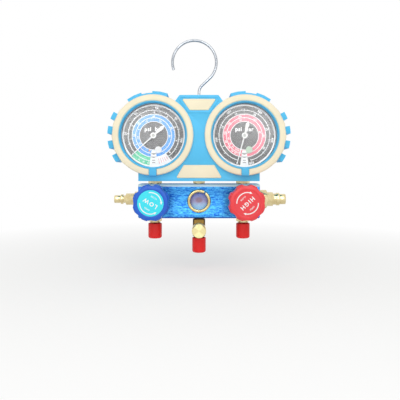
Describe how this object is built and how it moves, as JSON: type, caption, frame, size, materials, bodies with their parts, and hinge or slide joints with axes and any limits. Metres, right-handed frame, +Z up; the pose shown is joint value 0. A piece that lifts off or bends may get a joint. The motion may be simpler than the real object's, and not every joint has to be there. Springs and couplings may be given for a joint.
{
  "type": "refrigerant manifold gauge",
  "caption": "Refrigerant manifold gauge set: paired dial gauges in a rubber boot above a valve bar with knobs, sight glass, capped hose ports, parking posts and a hanging hook.",
  "frame": {"origin": "centre of the manifold bar's back face", "axes": "+Z up towards the hanging hook, -Y out of the dials and knobs, +X to the high-pressure side, on the right as the dials are read"},
  "size_m": [0.188, 0.064, 0.2281],
  "materials": {
    "boot_rubber": "satin moulded rubber",
    "cream_rubber": "satin moulded rubber",
    "blue_anodised": "brushed, blue anodised",
    "hook_chrome": "polished",
    "plated_steel": "bright zinc plated",
    "brass": "machined",
    "lens_clear": "clear polycarbonate",
    "sight_clear": "clear, polished",
    "low_dial_face": "printed",
    "high_dial_face": "printed",
    "white_enamel": "enamelled",
    "blue_knob": "moulded",
    "red_knob": "moulded",
    "cyan_label": "printed film",
    "red_label": "printed film",
    "red_cap": "moulded",
    "black_seal": "moulded"
  },
  "bodies": {
    "set": {"boot": "boot_rubber", "case_screws": "plated_steel", "centre_tee": "brass", "high_bezel_ring": "cream_rubber", "high_bonnet": "brass", "high_bourdon_tube": "brass", "high_dial": "high_dial_face", "high_gauge_case": "plated_steel", "high_hose_fitting": "brass", "high_lens": "lens_clear", "high_movement_frame": "brass", "high_parking_post": "brass", "high_socket": "brass", "high_stem_seal": "black_seal", "hook_bush": "plated_steel", "low_bezel_ring": "cream_rubber", "low_bonnet": "brass", "low_bourdon_tube": "brass", "low_dial": "low_dial_face", "low_gauge_case": "plated_steel", "low_hose_fitting": "brass", "low_lens": "lens_clear", "low_movement_frame": "brass", "low_parking_post": "brass", "low_socket": "brass", "low_stem_seal": "black_seal", "lower_inlay": "cream_rubber", "manifold_body": "blue_anodised", "service_core": "brass", "sight_glass": "sight_clear", "sight_ring": "brass", "sight_seal": "black_seal", "upper_inlay": "cream_rubber"},
    "hook": {"hook": "hook_chrome"},
    "service_cap": {"service_cap": "brass"},
    "core_pin": {"core_pin": "plated_steel"},
    "low_pointer": {"low_pointer": "white_enamel", "low_pinion_arbor": "brass"},
    "low_sector": {"low_sector_gear": "brass"},
    "low_link": {"low_link": "brass"},
    "low_zero_screw": {"low_zero_screw": "white_enamel"},
    "low_stem": {"low_valve_stem": "plated_steel"},
    "low_knob": {"low_knob": "blue_knob", "low_knob_label": "cyan_label", "low_knob_screw": "plated_steel"},
    "high_pointer": {"high_pointer": "white_enamel", "high_pinion_arbor": "brass"},
    "high_sector": {"high_sector_gear": "brass"},
    "high_link": {"high_link": "brass"},
    "high_zero_screw": {"high_zero_screw": "white_enamel"},
    "high_stem": {"high_valve_stem": "plated_steel"},
    "high_knob": {"high_knob": "red_knob", "high_knob_label": "red_label", "high_knob_screw": "plated_steel"},
    "low_cap": {"low_hose_cap": "red_cap", "low_cap_gasket": "black_seal"},
    "high_cap": {"high_hose_cap": "red_cap", "high_cap_gasket": "black_seal"},
    "centre_cap": {"centre_hose_cap": "red_cap", "centre_cap_gasket": "black_seal"}
  },
  "joints": [
    {"name": "hook_swivel", "type": "hinge", "parent": "set", "child": "hook", "pos_m": [0, -0.014, 0.018], "axis": [0, 0, 1], "continuous": true},
    {"name": "low_pointer_turn", "type": "hinge", "parent": "set", "child": "low_pointer", "pos_m": [-0.047, -0.0322, 0.068], "axis": [0, 1, 0], "range_deg": [-38, 302]},
    {"name": "low_sector_turn", "type": "hinge", "parent": "set", "child": "low_sector", "pos_m": [-0.047, -0.022, 0.047], "axis": [0, -1, 0], "range_deg": [-6.33, 50.33]},
    {"name": "low_link_turn", "type": "hinge", "parent": "low_sector", "child": "low_link", "pos_m": [-0.04609, -0.022, 0.04208], "axis": [0, 1, 0], "range_deg": [-6.33, 50.33]},
    {"name": "low_zero_adjust", "type": "hinge", "parent": "set", "child": "low_zero_screw", "pos_m": [-0.0421, -0.031, 0.0533], "axis": [0, -1, 0], "range_deg": [-90, 90]},
    {"name": "low_knob_turn", "type": "hinge", "parent": "low_stem", "child": "low_knob", "pos_m": [-0.047, -0.058, 0], "axis": [0, -1, 0], "range_deg": [0, 900]},
    {"name": "low_stem_travel", "type": "slide", "parent": "set", "child": "low_stem", "axis": [0, -1, 0], "range_m": [0, 0.00375]},
    {"name": "high_pointer_turn", "type": "hinge", "parent": "set", "child": "high_pointer", "pos_m": [0.047, -0.0322, 0.068], "axis": [0, 1, 0], "range_deg": [0, 325]},
    {"name": "high_sector_turn", "type": "hinge", "parent": "set", "child": "high_sector", "pos_m": [0.047, -0.022, 0.047], "axis": [0, -1, 0], "range_deg": [0, 54.17]},
    {"name": "high_link_turn", "type": "hinge", "parent": "high_sector", "child": "high_link", "pos_m": [0.04747, -0.022, 0.04202], "axis": [0, 1, 0], "range_deg": [0, 54.17]},
    {"name": "high_zero_adjust", "type": "hinge", "parent": "set", "child": "high_zero_screw", "pos_m": [0.0519, -0.031, 0.0533], "axis": [0, -1, 0], "range_deg": [-90, 90]},
    {"name": "high_knob_turn", "type": "hinge", "parent": "high_stem", "child": "high_knob", "pos_m": [0.047, -0.058, 0], "axis": [0, -1, 0], "range_deg": [0, 900]},
    {"name": "high_stem_travel", "type": "slide", "parent": "set", "child": "high_stem", "axis": [0, -1, 0], "range_m": [0, 0.00375]},
    {"name": "low_cap_off", "type": "slide", "parent": "set", "child": "low_cap", "axis": [0, 0, -1], "range_m": [0, 0.018]},
    {"name": "high_cap_off", "type": "slide", "parent": "set", "child": "high_cap", "axis": [0, 0, -1], "range_m": [0, 0.018]},
    {"name": "centre_cap_off", "type": "slide", "parent": "set", "child": "centre_cap", "axis": [0, 0, -1], "range_m": [0, 0.018]},
    {"name": "service_cap_off", "type": "slide", "parent": "set", "child": "service_cap", "axis": [0, -1, 0], "range_m": [0, 0.018]},
    {"name": "core_pin_press", "type": "slide", "parent": "set", "child": "core_pin", "axis": [0, 1, 0], "range_m": [0, 0.001], "stiffness_N_per_m": 800, "springref_m": -0.001}
  ],
  "couplings": [
    {"joint": "low_sector_turn", "follows": "low_pointer_turn", "ratio": 0.16667},
    {"joint": "low_link_turn", "follows": "low_pointer_turn", "ratio": 0.16667},
    {"joint": "low_knob_turn", "follows": "low_stem_travel", "rad_per_m": 4188.8},
    {"joint": "high_sector_turn", "follows": "high_pointer_turn", "ratio": 0.16667},
    {"joint": "high_link_turn", "follows": "high_pointer_turn", "ratio": 0.16667},
    {"joint": "high_knob_turn", "follows": "high_stem_travel", "rad_per_m": 4188.8}
  ]
}
